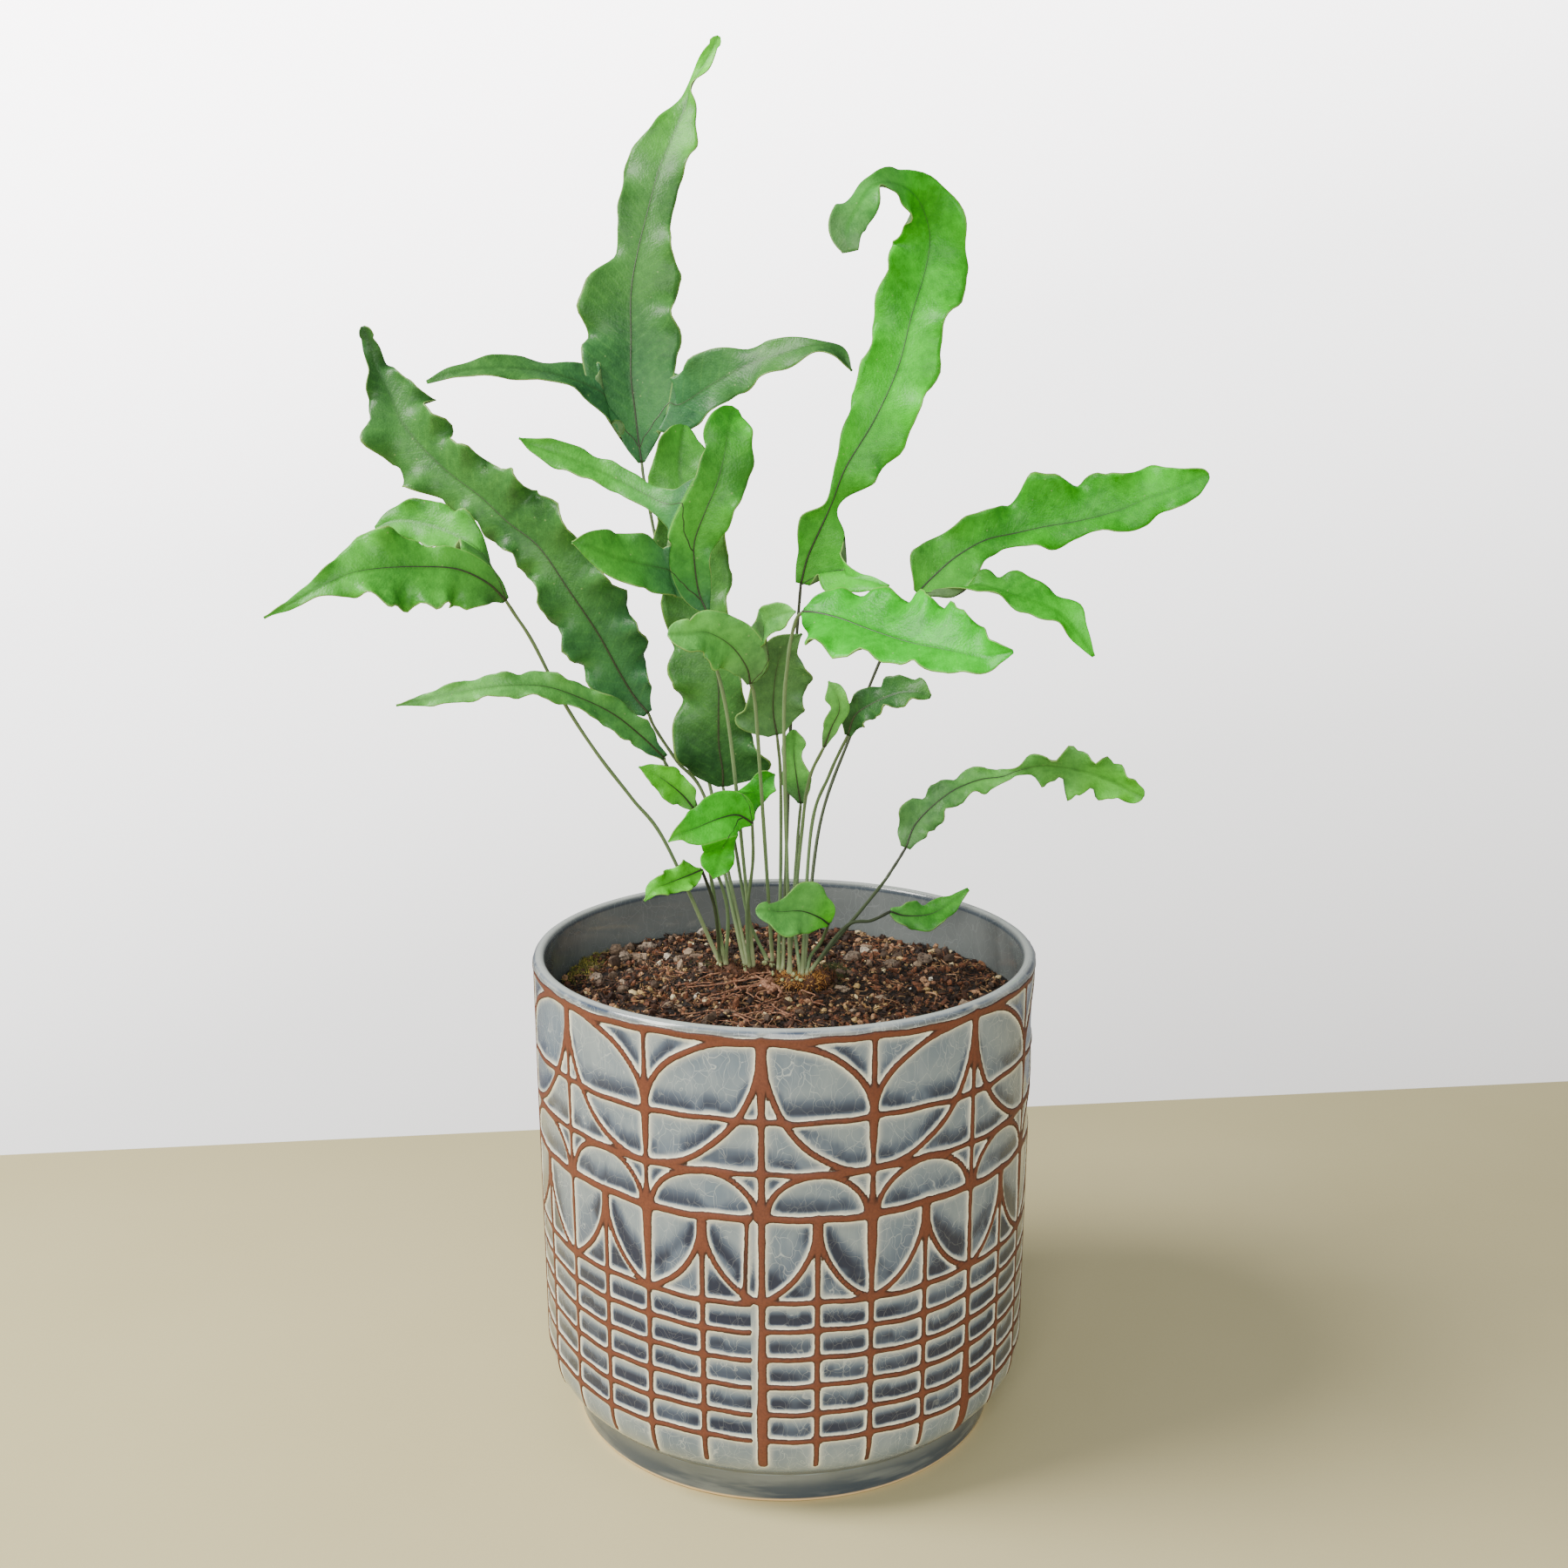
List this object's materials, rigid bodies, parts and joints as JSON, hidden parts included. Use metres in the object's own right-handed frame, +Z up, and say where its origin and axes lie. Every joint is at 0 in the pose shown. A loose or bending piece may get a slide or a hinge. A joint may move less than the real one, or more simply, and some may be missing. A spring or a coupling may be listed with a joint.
{
  "type": "potted fern",
  "caption": "Blue star fern with wavy, lobed fronds on thin stalks, growing from creeping rhizomes in soil, in a straight glazed planter with a raised line pattern.",
  "frame": {"origin": "middle of the pot's foot, on the surface that it stands on", "axes": "+Z up the pot's axis, -Y towards the side that the fronds face, +X to the right seen from that side"},
  "size_m": [0.2605, 0.1635, 0.4093],
  "materials": {
    "glazed_pot": "gloss",
    "soil": "matte",
    "rhizome": "matte",
    "surface_root": "matte",
    "stone": "matte",
    "stipe": "satin",
    "blade": "satin"
  },
  "bodies": {
    "root": {"pot": "glazed_pot", "soil": "soil", "rhizome_left": "rhizome", "rhizome_right": "rhizome", "surface_root_1": "surface_root", "surface_root_2": "surface_root", "surface_root_3": "surface_root", "stone_1": "stone", "stone_2": "stone", "stone_3": "stone", "stone_4": "stone", "stone_5": "stone", "stone_6": "stone", "frond_01_stipe": "stipe", "frond_01_blade": "blade", "frond_02_stipe": "stipe", "frond_02_blade": "blade", "frond_03_stipe": "stipe", "frond_03_blade": "blade", "frond_04_stipe": "stipe", "frond_04_blade": "blade", "frond_05_stipe": "stipe", "frond_05_blade": "blade", "frond_06_stipe": "stipe", "frond_06_blade": "blade", "frond_07_stipe": "stipe", "frond_07_blade": "blade", "frond_08_stipe": "stipe", "frond_08_blade": "blade", "frond_09_stipe": "stipe", "frond_09_blade": "blade", "frond_10_stipe": "stipe", "frond_10_blade": "blade", "frond_11_stipe": "stipe", "frond_11_blade": "blade", "frond_12_stipe": "stipe", "frond_12_blade": "blade", "frond_13_stipe": "stipe", "frond_13_blade": "blade", "frond_14_stipe": "stipe", "frond_14_blade": "blade", "frond_15_stipe": "stipe", "frond_15_blade": "blade", "frond_16_stipe": "stipe", "frond_16_blade": "blade", "frond_17_stipe": "stipe", "frond_17_blade": "blade", "frond_18_stipe": "stipe", "frond_18_blade": "blade", "frond_19_stipe": "stipe", "frond_19_blade": "blade", "frond_20_stipe": "stipe", "frond_20_blade": "blade"}
  },
  "joints": []
}
